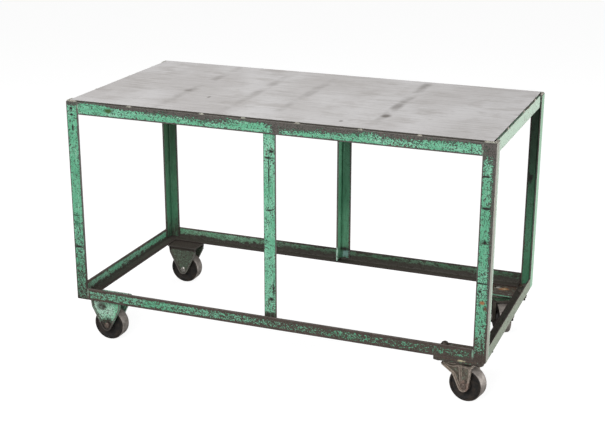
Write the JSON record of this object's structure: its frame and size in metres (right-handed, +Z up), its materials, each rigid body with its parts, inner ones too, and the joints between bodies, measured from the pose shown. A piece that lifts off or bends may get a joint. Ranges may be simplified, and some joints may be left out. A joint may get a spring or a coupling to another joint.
{
  "type": "rolling work table",
  "caption": "Shop rolling table: welded angle-iron frame with a flat steel plate top, rigid casters at one end and swivel casters at the other.",
  "frame": {"origin": "on the floor under the middle of the table, at the centre of the bounding box's bottom face", "axes": "+X along the table towards the end with the swivel casters, +Y across it towards the back, +Z up"},
  "size_m": [1.3, 0.635, 0.773],
  "materials": {
    "bare_steel_top": "bare hot-rolled plate, rubbed matt grey with oil and wear smudges",
    "green_enamel": "worn green machine enamel, chipped along the edges",
    "worn_green_enamel": "the same enamel, mostly scuffed off and covered with shop grime",
    "caster_fork_enamel": "worn green enamel on pressed steel",
    "dirty_caster_enamel": "green enamel under dark grease and grime",
    "cast_iron_wheel": "black cast iron with a grey, rolled-bright tread",
    "dark_steel_fastener": "darkened, greasy steel",
    "bright_steel_pin": "rubbed bright steel"
  },
  "bodies": {
    "frame": {"top_plate": "bare_steel_top", "top_rail_front": "green_enamel", "top_rail_back": "green_enamel", "top_rail_left": "green_enamel", "top_rail_right": "green_enamel", "bottom_rail_front": "worn_green_enamel", "bottom_rail_back": "worn_green_enamel", "bottom_rail_left": "worn_green_enamel", "bottom_rail_right": "worn_green_enamel", "post_front_left": "green_enamel", "post_front_right": "green_enamel", "post_back_left": "green_enamel", "post_back_right": "green_enamel", "post_front_middle": "green_enamel", "post_back_middle": "green_enamel", "rigid_fork_front": "caster_fork_enamel", "rigid_axle_front": "bright_steel_pin", "rigid_axle_nut_front": "dark_steel_fastener", "rigid_axle_sleeve_front": "bright_steel_pin", "corner_plate_front": "worn_green_enamel", "swivel_top_plate_front": "dirty_caster_enamel", "swivel_kingpin_front": "bright_steel_pin", "plate_bolt_front_1": "dark_steel_fastener", "plate_bolt_front_2": "dark_steel_fastener", "plate_bolt_front_3": "dark_steel_fastener", "plate_bolt_front_4": "dark_steel_fastener", "plate_nut_front_1": "dark_steel_fastener", "plate_nut_front_2": "dark_steel_fastener", "plate_nut_front_3": "dark_steel_fastener", "plate_nut_front_4": "dark_steel_fastener", "rigid_fork_back": "caster_fork_enamel", "rigid_axle_back": "bright_steel_pin", "rigid_axle_nut_back": "dark_steel_fastener", "rigid_axle_sleeve_back": "bright_steel_pin", "corner_plate_back": "worn_green_enamel", "swivel_top_plate_back": "dirty_caster_enamel", "swivel_kingpin_back": "bright_steel_pin", "plate_bolt_back_1": "dark_steel_fastener", "plate_bolt_back_2": "dark_steel_fastener", "plate_bolt_back_3": "dark_steel_fastener", "plate_bolt_back_4": "dark_steel_fastener", "plate_nut_back_1": "dark_steel_fastener", "plate_nut_back_2": "dark_steel_fastener", "plate_nut_back_3": "dark_steel_fastener", "plate_nut_back_4": "dark_steel_fastener"},
    "rigid_wheel_front": {"rigid_wheel_front": "cast_iron_wheel"},
    "swivel_front": {"swivel_fork_front": "dirty_caster_enamel", "swivel_ball_ring_front": "bright_steel_pin", "swivel_axle_front": "bright_steel_pin", "swivel_axle_nut_front": "dark_steel_fastener", "swivel_axle_sleeve_front": "bright_steel_pin"},
    "swivel_wheel_front": {"swivel_wheel_front": "cast_iron_wheel"},
    "rigid_wheel_back": {"rigid_wheel_back": "cast_iron_wheel"},
    "swivel_back": {"swivel_fork_back": "dirty_caster_enamel", "swivel_ball_ring_back": "bright_steel_pin", "swivel_axle_back": "bright_steel_pin", "swivel_axle_nut_back": "dark_steel_fastener", "swivel_axle_sleeve_back": "bright_steel_pin"},
    "swivel_wheel_back": {"swivel_wheel_back": "cast_iron_wheel"}
  },
  "joints": [
    {"name": "rigid_wheel_front_spin", "type": "hinge", "parent": "frame", "child": "rigid_wheel_front", "pos_m": [-0.562, -0.2655, 0.0508], "axis": [0, 1, 0], "continuous": true},
    {"name": "swivel_front_turn", "type": "hinge", "parent": "frame", "child": "swivel_front", "pos_m": [0.553, -0.2655, 0.112], "axis": [0, 0, 1], "continuous": true},
    {"name": "swivel_wheel_front_spin", "type": "hinge", "parent": "swivel_front", "child": "swivel_wheel_front", "pos_m": [0.5922, -0.27347, 0.0508], "axis": [0.1994, 0.9799, 0], "continuous": true},
    {"name": "rigid_wheel_back_spin", "type": "hinge", "parent": "frame", "child": "rigid_wheel_back", "pos_m": [-0.562, 0.2655, 0.0508], "axis": [0, 1, 0], "continuous": true},
    {"name": "swivel_back_turn", "type": "hinge", "parent": "frame", "child": "swivel_back", "pos_m": [0.553, 0.2655, 0.112], "axis": [0, 0, 1], "continuous": true},
    {"name": "swivel_wheel_back_spin", "type": "hinge", "parent": "swivel_back", "child": "swivel_wheel_back", "pos_m": [0.573, 0.23086, 0.0508], "axis": [0.866, 0.5, 0], "continuous": true}
  ]
}
